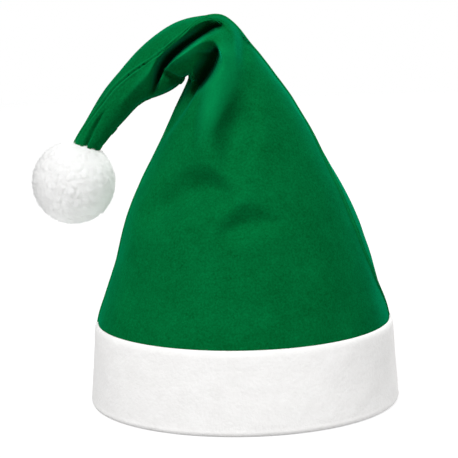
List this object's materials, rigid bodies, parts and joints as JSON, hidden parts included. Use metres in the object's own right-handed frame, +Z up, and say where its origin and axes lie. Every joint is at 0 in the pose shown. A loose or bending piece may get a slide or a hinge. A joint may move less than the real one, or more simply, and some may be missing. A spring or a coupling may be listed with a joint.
{
  "type": "felt elf hat with folded tip",
  "caption": "Pointed felt hat with a turned-up plush cuff and a plush pompom on its folded-over tip.",
  "frame": {"origin": "on the surface the hat stands on, under the middle of its bounding box", "axes": "+Z up, -Y the front seen in the picture, -X the side the tip hangs to"},
  "size_m": [0.2328, 0.184, 0.249],
  "materials": {
    "green_felt": "soft felt with a short brushed nap",
    "white_plush": "short brushed plush",
    "white_pile": "dense clumped pile"
  },
  "bodies": {
    "root": {"front_panel": "green_felt", "back_panel": "green_felt", "cuff": "white_plush", "pompom": "white_pile"}
  },
  "joints": []
}
